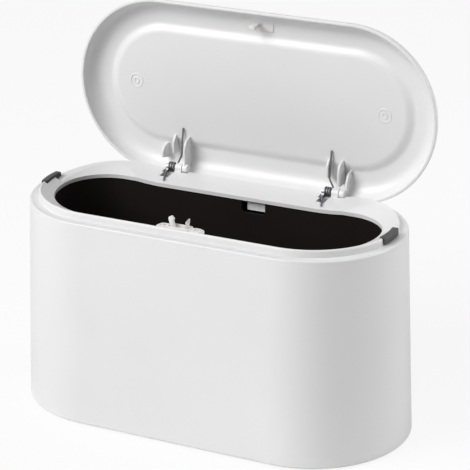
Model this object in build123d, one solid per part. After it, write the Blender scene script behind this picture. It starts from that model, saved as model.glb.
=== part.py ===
from build123d import *
import math
import os

# Desktop trash can: a stadium-shaped bin with a sprung lid, a touch latch and a lift-out liner.
# Millimetres. +Z up, front at -Y, lid hinges at the rear (+Y). The origin is under the
# middle of the bin, on the surface that it stands on. The lid stands open at rest.

# Outside of the bin, measured at the rim
length = 220.0
width = 103.0
flare = 4.0
foot_proud = 1.0
rim_height = 118.0

# Body shell
shell_wall = 2.0
shell_edge_round = 1.5
ledge_width = 1.5
ledge_height = 1.5
ledge_rise = 4.0

# Base plate and feet
base_thickness = 2.4
base_clearance = 0.15
liner_pad_height = 0.8
liner_pad_length = 40.0
liner_pad_width = 6.0
liner_pad_inset = 44.5
fence_height = 3.0
fence_wall = 1.5
fence_clearance = 0.5
foot_diameter = 11.0
foot_recess = 0.8
foot_round = 0.6
foot_inset_x = 34.0
foot_inset_y = 26.0

# Top frame: flange on the shell, riser behind the lid's wall, dished panel round the mouth
flange_thickness = 2.0
flange_round = 0.9
riser_inset = 5.2
riser_height = 4.2
riser_wall = 2.0
crest_round = 1.0
panel_thickness = 2.1
mouth_inset = 13.6
mouth_rear_inset = 25.2
mouth_corner = 25.4
mouth_drop = 3.7
skirt_depth = 8.0
skirt_wall = 1.6
skirt_clearance = 0.3

# Lowered rear edge of the frame, and the well in which the lid's rear wall swings
saddle_flat_inset = 54.0
saddle_end_inset = 26.0
saddle_depth = 3.2
saddle_tilt = 0.08
saddle_blend = 150.0
well_inset = 34.0
well_wall = 1.5
well_floor = 1.8
well_gap = 0.4
lid_wall_gap = 0.3

# Lid: a shallow cover rounded over nearly its whole depth, with a dished middle
lid_height = 10.8
lid_wall = 1.8
lid_edge_round = 10.2
lid_rest_gap = 2.0
plateau_inset = 18.0
plateau_rise = 2.2
plateau_ramp = 4.0
plateau_round = 2.0
mark_spacing = 154.0
mark_diameter = 6.6
mark_line = 0.8
mark_depth = 0.25

# Hinges: places along X are measured from the middle of each hinge
hinge_inset = 61.0
axis_forward = 4.85
axis_above = 0.35
knuckle_radius = 2.7
knuckle_start = 0.5
knuckle_end = 4.6
knuckle_gap = 0.3
ear_thickness = 2.4
pin_diameter = 2.5
pin_seat_clearance = 0.02
pin_running_clearance = 0.05
pin_overhang = 0.5
pin_head_diameter = 3.6
pin_head_thickness = 0.8
slot_clearance = 0.3
slot_reach = 6.0
neck_slot_reach = 11.5
neck_slot_width = 5.2
neck_slot_end = 0.4
rib_thickness = 1.6
ear_rib_height = 17.0
inner_rib_place = -2.6
inner_rib_foot = 6.6
outer_rib_place = 9.2
outer_rib_height = 11.5
rib_root = 0.9

# Torsion springs
wire = 0.9
coil_mean = 4.4
coil_start = -5.15
coil_end = -0.25
coil_turns = 3
leg_up = 22.3
leg_forward = 16.9
leg_across = 0.8
leg_gap = 0.2
leg_bend = 4.0
leg_lead = 3.2

# Touch latch in the front of the frame
latch_inset = 9.5
latch_travel = 3.2
seat_drop = 0.6
lug_length = 27.4
lug_width = 7.2
lug_thickness = 0.9
lug_round = 0.4
lug_dome = 6.8
lug_dome_height = 1.9
lug_dome_round = 1.3
neck_length = 13.4
neck_width = 6.2
neck_corner = 1.2
neck_round = 0.8
neck_rise = 2.4
cavity_length = 11.8
cavity_width = 4.2
latch_depth = 20.0
latch_clearance = 0.1
latch_running = 0.1
cap_thickness = 1.6
cap_plug = 1.2
cap_stem = 1.8
jaw_drop = 3.9
jaw_pivot = 3.0
jaw_thickness = 2.0
jaw_gap = 0.15
jaw_spread = 16.0
jaw_boss = 1.5
jaw_clearance = 0.3
jaw_stem = 1.5
jaw_reach = 5.6
jaw_tip = 2.6
jaw_barb_gap = 0.25
jaw_pin_diameter = 1.0
jaw_pin_seat_clearance = 0.02
jaw_pin_running_clearance = 0.05
cheek_rise = 1.5
plunger_pad_half = 1.2
plunger_block = 6.0
plunger_stem = 4.0
spring_wire = 0.5
spring_mean = 3.0
spring_turns = 5
spring_clearance = 0.15
screw_spacing = 20.6
screw_head = 3.2
screw_head_height = 0.9
screw_head_clearance = 0.2
screw_shank = 1.7
screw_seat_clearance = 0.02
screw_length = 5.0
latch_boss_wall = 0.3

# Striker under the front of the lid
pad_length = 18.0
pad_width = 7.0
pad_thickness = 0.6
striker_neck = 2.2
striker_head = 4.2
striker_head_height = 1.8
striker_taper = 0.8
striker_thickness = 2.0
grip_gap = 0.2

# End bumpers
bumper_length = 18.0
bumper_width = 3.4
bumper_shift = -1.6
bumper_proud = 0.5
bumper_sink = 2.2
bumper_round = 0.8
bumper_clearance = 0.1

# Inner liner
liner_wall = 1.5
liner_mouth_gap = 0.6
liner_latch_gap = 1.4
liner_rim_gap = 0.4
liner_draft = 2.5
liner_floor = 1.8
liner_round = 4.0
notch_place = 9.8
notch_length = 14.6
notch_depth = 6.8
notch_round = 2.5
tongue_place = 11.2
tongue_length = 12.6
tongue_thickness = 1.8
tongue_gap = 1.2
tongue_lift = 0.9

# Levels that follow from the sizes above
shell_bottom = foot_proud
flange_top = shell_bottom + rim_height
shell_top = flange_top - flange_thickness
skirt_bottom = shell_top - skirt_depth
ledge_level = shell_bottom + ledge_rise
base_level = ledge_level - base_thickness
liner_bottom = ledge_level + liner_pad_height
crest = flange_top + riser_height
mouth_level = crest - mouth_drop
saddle_level = crest - saddle_depth
panel_back = width / 2 - riser_inset
end_middle = length / 2 - width / 2
well_half = length / 2 - well_inset
hinge_place = length / 2 - hinge_inset
mouth_radius = width / 2 - mouth_inset
mouth_back = width / 2 - mouth_rear_inset
mouth_fall = (panel_back - mouth_back) * saddle_tilt
corner_y = mouth_back - mouth_corner
corner_x = end_middle + math.sqrt((mouth_radius - mouth_corner) ** 2 - corner_y ** 2)
corner_turn = math.degrees(math.atan2(corner_y, corner_x - end_middle))
lid_rim = flange_top + lid_rest_gap
lid_top = lid_rim + lid_height
lid_ceiling = lid_top - lid_wall
axis_y = width / 2 - axis_forward
axis_z = lid_rim + axis_above
well_level = axis_z - axis_forward - lid_wall_gap
well_bottom = well_level - well_floor
well_front = axis_y - axis_above - well_gap
ear_start = knuckle_end + knuckle_gap
ear_end = ear_start + ear_thickness
plateau_depth = lid_ceiling - plateau_rise - axis_z
latch_y = latch_inset - width / 2
latch_seat = crest - seat_drop
latch_top = latch_seat + neck_rise
pivot_level = latch_top - jaw_drop
grip_level = pivot_level - latch_travel + jaw_reach
liner_top = mouth_level - panel_thickness - liner_rim_gap
liner_front = latch_y + neck_width / 2 + liner_latch_gap
notch_level = saddle_level - mouth_fall - panel_thickness - liner_rim_gap - notch_depth


def slot(overall_length, overall_width, level, shift=0.0):
    """Stadium-shaped face at a level."""
    return Pos(0, shift, level) * SlotOverall(overall_length, overall_width)


def inset_slot(inset, level):
    """Outline of the bin at the rim, moved in by an inset."""
    return slot(length - 2 * inset, width - 2 * inset, level)


def flared(inset, level):
    """Outline of the flared body wall at a level, moved in by an inset."""
    grow = flare * (flange_top - level) / rim_height
    return inset_slot(inset - grow, level)


def rim_outline(radius, x, y, corner, level):
    """Outline with round ends and rear corners of their own, split where the arcs meet."""
    back = y + corner
    right = [CenterArc((end_middle, 0), radius, -90, 90 + corner_turn),
             CenterArc((x, y), corner, corner_turn, 90 - corner_turn)]
    left = [CenterArc((-x, y), corner, 90, 90 - corner_turn),
            CenterArc((-end_middle, 0), radius, 180 - corner_turn, 90 + corner_turn)]
    front = Line((-end_middle, -radius), (end_middle, -radius))
    rear = Line((x, back), (-x, back))
    return Pos(0, 0, level) * make_face([front, *right, rear, *left])


def mouth_outline(grow, level):
    """Outline of the mouth, grown by an amount."""
    return rim_outline(mouth_radius + grow, corner_x, corner_y, mouth_corner + grow, level)


def dish_rim(level):
    """Inner edge of the crest, split like the mouth's outline."""
    radius = width / 2 - riser_inset - crest_round
    return rim_outline(radius, end_middle, 0, radius, level)


def prism(face, height):
    """Straight solid upwards from a level face."""
    return extrude(face, amount=height, dir=(0, 0, 1))


def block(x0, x1, y0, y1, z0, z1):
    """Box from its limits."""
    middle = Pos((x0 + x1) / 2, (y0 + y1) / 2, (z0 + z1) / 2)
    return middle * Box(x1 - x0, y1 - y0, z1 - z0)


def rod_x(radius, x0, x1, y, z):
    """Round bar along X."""
    return Pos((x0 + x1) / 2, y, z) * Rot(0, 90, 0) * Cylinder(radius, x1 - x0)


def rod_y(radius, y0, y1, x, z):
    """Round bar along Y."""
    return Pos(x, (y0 + y1) / 2, z) * Rot(90, 0, 0) * Cylinder(radius, y1 - y0)


def rod_z(radius, z0, z1, x, y):
    """Round bar along Z."""
    return Pos(x, y, (z0 + z1) / 2) * Cylinder(radius, z1 - z0)


def edges_at(solid, level):
    """Edges that lie wholly at one level."""
    found = []
    for edge in solid.edges():
        box = edge.bounding_box()
        if abs(box.min.Z - level) < 0.01 and abs(box.max.Z - level) < 0.01:
            found.append(edge)
    return found


def keep(name, solid):
    """Writes one sub-part."""
    export_step(solid, os.path.join("parts", name + ".step"))


def panel_at(y):
    """Level of the lowered rear panel of the frame."""
    return saddle_level - (panel_back - y) * saddle_tilt


def saddle_cutter(drop):
    """What stands above the lowered rear of the frame, its surface moved down by a drop."""
    start = width / 2 + skirt_depth
    low = panel_at(start) - drop
    high = low + saddle_depth + 0.5
    top = high + 10 * saddle_depth
    end = length / 2 + skirt_depth
    flat = length / 2 - saddle_flat_inset
    out = length / 2 - saddle_end_inset
    lower = FilletPolyline((-end, high), (-out, high), (-flat, low), (flat, low), (out, high),
                           (end, high), radius=saddle_blend)
    upper = Polyline((end, high), (end, top), (-end, top), (-end, high))
    face = Plane(origin=(0, start, 0), x_dir=(1, 0, 0), z_dir=(0, -1, 0)) * make_face(lower + upper)
    return extrude(face, amount=start, dir=(0, -1, -saddle_tilt))


def well_box(half, front, low, high):
    """Box at the rear, from a front face to behind the bin."""
    return block(-half, half, front, width / 2 + skirt_depth, low, high)


def make_body_shell():
    outer = loft([flared(0, shell_bottom), flared(0, shell_top)], ruled=True)
    outer = fillet(edges_at(outer, shell_bottom), shell_edge_round)
    bore = loft([flared(shell_wall, shell_bottom - 1), flared(shell_wall, shell_top + 1)], ruled=True)
    ledge = prism(flared(shell_wall / 2, ledge_level), ledge_height)
    ledge -= prism(flared(shell_wall + ledge_width, ledge_level - 1), ledge_height + 2)
    notch = well_box(well_half + well_wall + base_clearance, 0, well_bottom, flange_top)
    return outer - bore + ledge - notch


def foot_places():
    x = length / 2 - foot_inset_x
    y = width / 2 - foot_inset_y
    return [(-x, -y), (x, -y), (-x, y), (x, y)]


def make_base_plate():
    """Floor of the bin: pads that carry the liner, a fence round its foot, recesses for the feet."""
    grow = shell_wall + base_clearance
    plate = loft([flared(grow, base_level), flared(grow, ledge_level)], ruled=True)
    plate += prism(liner_face(-fence_clearance - fence_wall, liner_bottom, ledge_level), fence_height)
    plate -= prism(liner_face(-fence_clearance, liner_bottom, ledge_level), fence_height)
    middle = (mouth_back + liner_front) / 2
    for x in (liner_pad_inset - length / 2, length / 2 - liner_pad_inset):
        plate += block(x - liner_pad_width / 2, x + liner_pad_width / 2, middle - liner_pad_length / 2,
                       middle + liner_pad_length / 2, ledge_level, liner_bottom)
    for x, y in foot_places():
        plate -= rod_z(foot_diameter / 2 + base_clearance, base_level - 1, base_level + foot_recess, x, y)
    return plate


def make_rubber_feet():
    feet = []
    for x, y in foot_places():
        foot = rod_z(foot_diameter / 2, 0, base_level + foot_recess, x, y)
        feet.append(fillet(edges_at(foot, 0), foot_round))
    return Compound(children=feet)


def liner_face(inset, draft_level, level):
    """Outline of the liner's wall, as narrow as at its draft level; its front is straight."""
    narrow = liner_draft * (liner_top - draft_level) / (liner_top - liner_bottom) + inset
    front = liner_front + narrow
    outline = mouth_outline(liner_mouth_gap + liner_wall - narrow, level)
    return outline - Pos(0, front - width / 2, level) * Rectangle(length, width)


def make_inner_liner():
    """Lift-out liner; its rear rim has a finger notch and follows the underside of the panel."""
    floor = liner_bottom + liner_floor
    outer = loft([liner_face(0, liner_bottom, liner_bottom), liner_face(0, liner_top, liner_top)], ruled=True)
    outer = fillet(edges_at(outer, liner_bottom), liner_round)
    bore = loft([liner_face(liner_wall, floor, floor),
                 liner_face(liner_wall, liner_top + 1, liner_top + 1)], ruled=True)
    bore = fillet(edges_at(bore, floor), liner_round - liner_wall)
    tall = 2 * notch_depth
    notch = Pos(notch_place, mouth_back, notch_level + tall / 2) * Rot(90, 0, 0) * extrude(
        RectangleRounded(notch_length, tall, notch_round), amount=4 * liner_wall, both=True)
    return outer - bore - saddle_cutter(panel_thickness + liner_rim_gap) - notch


def hinge_middles():
    return (-hinge_place, hinge_place)


def make_top_frame():
    riser = fillet(edges_at(prism(inset_slot(riser_inset, shell_top), crest - shell_top), crest), crest_round)
    flange = prism(inset_slot(0, shell_top), flange_thickness)
    flange = fillet(edges_at(flange, flange_top), flange_round)
    skirt_inset = shell_wall + skirt_clearance
    skirt = prism(inset_slot(skirt_inset, skirt_bottom), skirt_depth)
    tray = prism(inset_slot(0, well_bottom), flange_top - well_bottom)
    tray &= well_box(well_half + well_wall, well_front - skirt_wall, well_bottom, flange_top)
    dish = loft([mouth_outline(0, mouth_level), dish_rim(crest)], ruled=True)
    under = prism(inset_slot(riser_inset + riser_wall, shell_top), crest - panel_thickness - shell_top)
    under += prism(inset_slot(skirt_inset + skirt_wall, skirt_bottom - 1), skirt_depth + 1)
    under -= Pos(0, 0, -panel_thickness) * dish
    under -= saddle_cutter(panel_thickness)
    under -= tray
    frame = riser + flange + skirt + tray - dish - saddle_cutter(0) - under
    frame += prism(Pos(0, latch_y, latch_seat - screw_length) * lug_outline(latch_boss_wall), screw_length)
    frame -= prism(mouth_outline(0, skirt_bottom - 1), crest)
    frame -= well_box(well_half, well_front, well_level, crest + 5)
    for middle in hinge_middles():
        frame += hinge_knuckle(middle)
        frame -= hinge_slots(middle)
    for side in (-1, 1):
        frame -= bumper_ring(side, bumper_clearance)
    return frame - latch_cutout() + locating_tongue()


def hinge_knuckle(middle):
    """Bearing for the pin, standing on the rear edge of the frame."""
    left = middle + knuckle_start
    right = middle + knuckle_end
    knuckle = rod_x(knuckle_radius, left, right, axis_y, axis_z)
    knuckle += block(left, right, axis_y - knuckle_radius, well_front, shell_top, axis_z)
    return knuckle - rod_x(pin_diameter / 2 + pin_seat_clearance, left - 1, right + 1, axis_y, axis_z)


def hinge_slots(middle):
    """Slots in the rear edge for the coil, the spring's lower leg and the lid's ear."""
    coil_radius = (coil_mean + wire) / 2 + slot_clearance
    high = crest + 5
    left = middle + coil_start - wire / 2 - 2 * slot_clearance
    right = middle + knuckle_start
    cut = block(left, right, axis_y - slot_reach, well_front + 1, axis_z - coil_radius, high)
    cut += block(left, right, axis_y - slot_reach, well_front - skirt_wall, skirt_bottom, high)
    neck = middle + neck_slot_end
    cut += block(neck - neck_slot_width, neck, axis_y - neck_slot_reach, axis_y, skirt_bottom, high) - \
        block(neck - neck_slot_width, neck, well_front - skirt_wall, width, skirt_bottom, high)
    ear_radius = knuckle_radius + slot_clearance
    cut += block(middle + knuckle_end, middle + ear_end + pin_head_thickness + 2 * slot_clearance,
                 axis_y - ear_radius, well_front + 1, axis_z - ear_radius, high)
    return cut


def bumper_ring(side, grow):
    """Strip over the crest at one end, grown by an amount for the notch that holds it."""
    low = crest - bumper_sink - grow
    high = crest + bumper_proud + grow
    outside = riser_inset - bumper_proud - grow
    ring = prism(inset_slot(outside, low), high - low)
    ring -= prism(inset_slot(outside + bumper_width + 2 * grow, low - 1), high - low + 2)
    half = bumper_length / 2 + grow
    return ring & block(min(side * end_middle, side * length), max(side * end_middle, side * length),
                        bumper_shift - half, bumper_shift + half, low - 1, high + 1)


def make_end_bumper(side):
    strip = bumper_ring(side, 0)
    return fillet(edges_at(strip, crest + bumper_proud), bumper_round)


def lug_outline(grow):
    return SlotOverall(lug_length + 2 * grow, lug_width + 2 * grow)


def latch_cutout():
    """Opening for the latch body, the flat seat of its lugs and the screw holes."""
    half_x = neck_length / 2 + latch_clearance
    half_y = neck_width / 2 + latch_clearance
    cut = block(-half_x, half_x, latch_y - half_y, latch_y + half_y, skirt_bottom - 1, crest + 5)
    cut += prism(Pos(0, latch_y, latch_seat) * lug_outline(latch_clearance), 5)
    for x in (-screw_spacing / 2, screw_spacing / 2):
        cut += rod_z(screw_shank / 2 + screw_seat_clearance, skirt_bottom, latch_seat + 1, x, latch_y)
    return cut


def locating_tongue():
    """Tongue behind the liner's rear wall, seen through the liner's notch."""
    near = mouth_back + liner_mouth_gap + liner_wall + tongue_gap
    return block(tongue_place - tongue_length / 2, tongue_place + tongue_length / 2, near,
                 near + tongue_thickness, notch_level + tongue_lift, panel_at(near) - panel_thickness / 2)


def open_lid(solid):
    """Turns a piece of the closed lid about the hinge line to where the lid stands open."""
    return Pos(0, axis_y, axis_z) * Rot(-90, 0, 0) * Pos(0, -axis_y, -axis_z) * solid


def stadium_turned(profile):
    """Solid of the lid's outline from its section, given in XZ from the middle outwards."""
    half = length / 2 - width / 2
    end = revolve(profile, Axis.Z, 180)
    across = Rot(0, 0, 90) * profile
    middle = extrude(across, amount=half, dir=(1, 0, 0), both=True)
    middle += mirror(middle, Plane.XZ)
    low_end = Pos(half, 0, 0) * Rot(0, 0, -90) * end
    return middle + low_end + mirror(low_end, Plane.YZ)


def lid_skin(depth):
    """Line of the lid's section from its middle to its rim, on the outer face or a depth under it."""
    radius = width / 2 - depth
    top = lid_top - depth
    slope = math.atan2(plateau_rise, plateau_ramp)
    shift = (lid_wall - depth) * math.tan(slope / 2)
    inner = width / 2 - plateau_inset - plateau_ramp / 2 - shift
    outer = width / 2 - plateau_inset + plateau_ramp / 2 - shift
    return FilletPolyline((0, 0, top - plateau_rise), (inner, 0, top - plateau_rise), (outer, 0, top),
                          (radius, 0, top), (radius, 0, lid_rim),
                          radius=[plateau_round + depth, plateau_round + lid_wall - depth,
                                  lid_edge_round - depth])


def lid_block():
    """The lid as if it were filled up to its rim."""
    line = lid_skin(0)
    close = Polyline((width / 2, 0, lid_rim), (0, 0, lid_rim), (0, 0, lid_top - plateau_rise))
    return stadium_turned(make_face(line + close))


def make_lid_cover():
    line = lid_skin(lid_wall)
    close = Polyline((width / 2 - lid_wall, 0, lid_rim), (0, 0, lid_rim),
                     (0, 0, lid_ceiling - plateau_rise))
    lid = lid_block() - stadium_turned(make_face(line + close))
    level = lid_ceiling - plateau_rise
    for x in (-mark_spacing / 2, mark_spacing / 2):
        mark = rod_z(mark_diameter / 2, level - 1, level + mark_depth, x, 0)
        lid -= mark - rod_z(mark_diameter / 2 - mark_line, level - 2, level + 1, x, 0)
    return open_lid(lid) + lid_ribs()


def rib(points, x, thickness):
    """Flat rib in the open lid; its points are (rearwards, upwards) from the hinge line."""
    corners = [(x, axis_y + back, axis_z + up) for back, up in points]
    face = make_face(Polyline(*corners, close=True))
    return extrude(face, amount=thickness / 2, dir=(1, 0, 0), both=True)


def lid_ribs():
    """Ear, inner rib and outer rib of each hinge, moulded to the inside of the lid."""
    root = plateau_depth + rib_root
    wall = plateau_depth + plateau_rise + rib_root
    low = lid_wall / 2 - axis_forward
    inside = open_lid(lid_block()) + block(-length / 2, length / 2, axis_y - knuckle_radius - 1,
                                           axis_y, axis_z - knuckle_radius, axis_z + ear_rib_height)
    ribs = []
    for middle in hinge_middles():
        outward = math.copysign(1, middle)
        ear = rib([(-2.45, 1.1), (-0.3, 3.6), (1.0, 6.5), (3.6, 12.0), (plateau_depth - 0.2, ear_rib_height),
                   (root, ear_rib_height), (root, 8.0), (wall, 8.0), (wall, -knuckle_radius),
                   (0, -knuckle_radius)], middle + (ear_start + ear_end) / 2, ear_thickness)
        ear += rod_x(knuckle_radius, middle + ear_start, middle + ear_end, axis_y, axis_z)
        ear -= rod_x(pin_diameter / 2 + pin_running_clearance, middle + ear_start - 1,
                     middle + ear_end + 1, axis_y, axis_z)
        inner = rib([(4.0, inner_rib_foot), (plateau_depth - 0.2, ear_rib_height), (root, ear_rib_height),
                     (root, 8.0), (wall, 8.0), (wall, inner_rib_foot)],
                    middle + inner_rib_place, rib_thickness)
        outer = rib([(2.4, low), (2.4, -2.0), (4.5, 5.0), (plateau_depth + 1.2, outer_rib_height),
                     (wall, outer_rib_height), (wall, low)],
                    middle + outward * outer_rib_place, rib_thickness)
        ribs += [ear & inside, inner & inside, outer & inside]
    return ribs


def make_lid_striker():
    """T-headed hook on a pad that follows the lid's rounded edge."""
    level = grip_level - grip_gap
    half = striker_head / 2
    waist = striker_neck / 2
    outline = Polyline((-waist, 0, lid_ceiling), (-waist, 0, level), (-half, 0, level),
                       (-half, 0, level - striker_head_height + striker_taper),
                       (-waist, 0, level - striker_head_height), (waist, 0, level - striker_head_height),
                       (half, 0, level - striker_head_height + striker_taper), (half, 0, level),
                       (waist, 0, level), (waist, 0, lid_ceiling), close=True)
    hook = extrude(make_face(outline), amount=striker_thickness / 2, dir=(0, 1, 0), both=True)
    pad = Box(pad_length, pad_width, pad_thickness + lid_wall)
    pad = fillet(pad.edges().filter_by(Axis.Z), 1)
    striker = Pos(0, latch_y, 0) * (hook + Pos(0, 0, lid_ceiling + (lid_wall - pad_thickness) / 2) * pad)
    line = lid_skin(lid_wall)
    close = Polyline((width / 2 - lid_wall, 0, lid_rim), (width / 2 - lid_wall, 0, 0), (0, 0, 0),
                     (0, 0, lid_ceiling - plateau_rise))
    return open_lid(striker & stadium_turned(make_face(line + close)))


def arc_pair(start, heading, end, leaving):
    """Two tangent arcs that join two points with given directions."""
    chord = end - start
    spread = 2 * (1 - heading.dot(leaving))
    along = chord.dot(heading + leaving)
    reach = (math.sqrt(along ** 2 + spread * chord.dot(chord)) - along) / spread
    near = start + heading * reach
    far = end - leaving * reach
    meet = (near + far) * 0.5
    first = Edge.make_tangent_arc(start, heading, meet)
    return [first, Edge.make_tangent_arc(meet, (far - near).normalized(), end)]


def coil_stations(radius, x0, x1, angle0, angle1, step):
    """Points and directions on a coil round the X axis, square to it at both ends."""
    count = math.ceil((angle1 - angle0) / step)
    stations = []
    for i in range(count + 1):
        angle = math.radians(angle0 + (angle1 - angle0) * i / count)
        climb = (x1 - x0) / math.radians(angle1 - angle0) if 0 < i < count else 0
        point = Vector(x0 + (x1 - x0) * i / count, radius * math.cos(angle), radius * math.sin(angle))
        heading = Vector(climb, -radius * math.sin(angle), radius * math.cos(angle)).normalized()
        stations.append((point, heading))
    return stations


def joined_arcs(stations):
    arcs = []
    for (start, heading), (end, leaving) in zip(stations, stations[1:]):
        arcs += arc_pair(start, heading, end, leaving)
    return arcs


def wound(name, edges, thickness):
    """Unbroken tube along the edges; prints its least gap to itself."""
    path = Wire(edges)
    tube = sweep(Plane(origin=path @ 0, z_dir=path % 0) * Circle(thickness / 2), path=path)
    count = int(path.length / thickness * 4)
    points = [path @ (i / count) for i in range(count + 1)]
    apart = int(4 * thickness / (path.length / count))
    gap = min((points[i] - points[j]).length for i in range(count + 1) for j in range(i + apart, count + 1))
    print(name, "least gap to itself", round(gap - thickness, 2), "mm, volume",
          round(tube.volume, 2), "for", round(math.pi * thickness ** 2 / 4 * path.length, 2))
    return tube


def make_torsion_spring(name, middle):
    """Coil round the pin; one leg up against the lid, one forward on the frame's rear panel."""
    radius = coil_mean / 2
    lean = math.atan2(plateau_depth - wire / 2 - leg_gap - radius, leg_up)
    tip_z = panel_at(axis_y - leg_forward) + wire / 2 + leg_gap - axis_z
    edge_y = -neck_slot_reach + wire
    edge_z = panel_at(axis_y + edge_y - wire) + wire / 2 + leg_gap - axis_z
    lift = math.atan2(edge_z + radius, -edge_y)
    angle0 = -90 - math.degrees(lift)
    angle1 = 360 * coil_turns - math.degrees(lean)
    stations = coil_stations(radius, coil_start, coil_end, angle0, angle1, 90)
    start, heading = stations[0]
    lead = start - heading * leg_lead
    share = (lead.Y - edge_y) / (lead.Y + leg_forward)
    bend = Vector(coil_start + (leg_across - coil_start) * share, edge_y, edge_z)
    tip = Vector(leg_across, -leg_forward, tip_z)
    edges = list(FilletPolyline(tip, bend, lead, start, radius=leg_bend).edges())
    edges += joined_arcs(stations)
    end, leaving = stations[-1]
    edges.append(Edge.make_line(end, end + leaving * (leg_up / leaving.Z)))
    return Pos(middle, axis_y, axis_z) * wound(name, edges, wire)


def make_hinge_pin(middle):
    left = middle + coil_start - wire / 2 - pin_overhang
    head = middle + ear_end + slot_clearance / 2
    pin = rod_x(pin_diameter / 2, left, head, axis_y, axis_z)
    return pin + rod_x(pin_head_diameter / 2, head, head + pin_head_thickness, axis_y, axis_z)


def make_latch_housing():
    bottom = latch_seat - latch_depth
    top = latch_seat + lug_dome_height
    lugs = prism(Pos(0, latch_y, latch_seat) * lug_outline(0), lug_thickness)
    lugs = fillet(edges_at(lugs, latch_seat + lug_thickness), lug_round)
    for x in (-screw_spacing / 2, screw_spacing / 2):
        dome = rod_z(lug_dome / 2, latch_seat, top, x, latch_y)
        lugs += fillet(edges_at(dome, top), lug_dome_round)
    neck = Pos(0, latch_y, bottom) * RectangleRounded(neck_length, neck_width, neck_corner)
    neck = prism(neck, latch_top - bottom)
    neck = fillet(edges_at(neck, latch_top), neck_round)
    cavity = block(-cavity_length / 2, cavity_length / 2, latch_y - cavity_width / 2,
                   latch_y + cavity_width / 2, bottom - 1, latch_top + 1)
    housing = lugs + neck - cavity
    for x in (-screw_spacing / 2, screw_spacing / 2):
        housing -= rod_z(screw_shank / 2 + screw_head_clearance, latch_seat - 1, top + 1, x, latch_y)
        housing -= rod_z(screw_head / 2 + screw_head_clearance, top - screw_head_height, top + 1, x, latch_y)
    return housing


def make_latch_screws():
    screws = []
    seat = latch_seat + lug_dome_height - screw_head_height
    for x in (-screw_spacing / 2, screw_spacing / 2):
        head = rod_z(screw_head / 2, seat, seat + screw_head_height, x, latch_y)
        head = chamfer(edges_at(head, seat + screw_head_height), screw_head_height / 3)
        screws.append(head + rod_z(screw_shank / 2, seat - screw_length, seat, x, latch_y))
    return Compound(children=screws)


def make_latch_end_cap():
    """Lid of the latch body's lower end, with the seat of its spring."""
    bottom = latch_seat - latch_depth
    cap = Pos(0, latch_y, bottom - cap_thickness) * RectangleRounded(neck_length, neck_width, neck_corner)
    cap = prism(cap, cap_thickness)
    half_x = cavity_length / 2 - latch_running
    half_y = cavity_width / 2 - latch_running
    cap += block(-half_x, half_x, latch_y - half_y, latch_y + half_y, bottom, bottom + cap_plug)
    stem = (spring_mean - spring_wire) / 2 - spring_clearance
    return cap + rod_z(stem, bottom, bottom + cap_plug + cap_stem, 0, latch_y)


def make_latch_plunger():
    """Sliding block with a middle pad for the striker and cheeks for the jaw pins."""
    half_x = cavity_length / 2 - latch_running
    half_y = cavity_width / 2 - latch_running
    pocket = pivot_level - jaw_boss - jaw_clearance
    plunger = block(-half_x, half_x, latch_y - half_y, latch_y + half_y,
                    pocket - plunger_block, pivot_level + cheek_rise)
    gap = jaw_thickness / 2 + jaw_gap
    for side in (-1, 1):
        near = side * plunger_pad_half
        far = side * (half_x + 1)
        plunger -= block(min(near, far), max(near, far), latch_y - gap, latch_y + gap, pocket, crest + 5)
        plunger -= rod_y(jaw_pin_diameter / 2 + jaw_pin_seat_clearance, latch_y - half_y - 1,
                         latch_y + half_y + 1, side * jaw_pivot, pivot_level)
    plunger -= block(-plunger_pad_half, plunger_pad_half, latch_y - gap, latch_y + gap,
                     pivot_level, crest + 5)
    stem = (spring_mean - spring_wire) / 2 - spring_clearance
    return plunger + rod_z(stem, pocket - plunger_block - plunger_stem, pocket, 0, latch_y)


def make_latch_jaw(side):
    """Jaw with an inward barb; it leans outwards while the plunger stands out."""
    tip = jaw_reach + jaw_tip
    barb = jaw_pivot - striker_neck / 2 - jaw_barb_gap
    outline = Polyline((-jaw_stem / 2, 0, 0), (-jaw_stem / 2, 0, jaw_reach), (-barb, 0, jaw_reach),
                       (-barb, 0, jaw_reach + jaw_tip / 4), (0, 0, tip), (jaw_stem / 2, 0, tip - jaw_tip / 6),
                       (jaw_stem / 2, 0, 0), close=True)
    jaw = extrude(make_face(outline), amount=jaw_thickness / 2, dir=(0, 1, 0), both=True)
    jaw += rod_y(jaw_boss, -jaw_thickness / 2, jaw_thickness / 2, 0, 0)
    jaw -= rod_y(jaw_pin_diameter / 2 + jaw_pin_running_clearance, -jaw_thickness, jaw_thickness, 0, 0)
    jaw = Rot(0, jaw_spread, 0) * jaw
    if side < 0:
        jaw = mirror(jaw, Plane.YZ)
    return Pos(side * jaw_pivot, latch_y, pivot_level) * jaw


def make_jaw_pin(side):
    half = cavity_width / 2 - 2 * latch_running
    return rod_y(jaw_pin_diameter / 2, latch_y - half, latch_y + half, side * jaw_pivot, pivot_level)


def make_latch_spring():
    """Hidden coil that pushes the plunger out again."""
    low = latch_seat - latch_depth + cap_plug + spring_wire / 2
    high = pivot_level - jaw_boss - jaw_clearance - plunger_block - spring_wire / 2
    stations = coil_stations(spring_mean / 2, 0, high - low, 0, 360 * spring_turns, 180)
    tube = wound("latch_spring", joined_arcs(stations), spring_wire)
    return Pos(0, latch_y, low) * Rot(0, -90, 0) * tube


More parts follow.
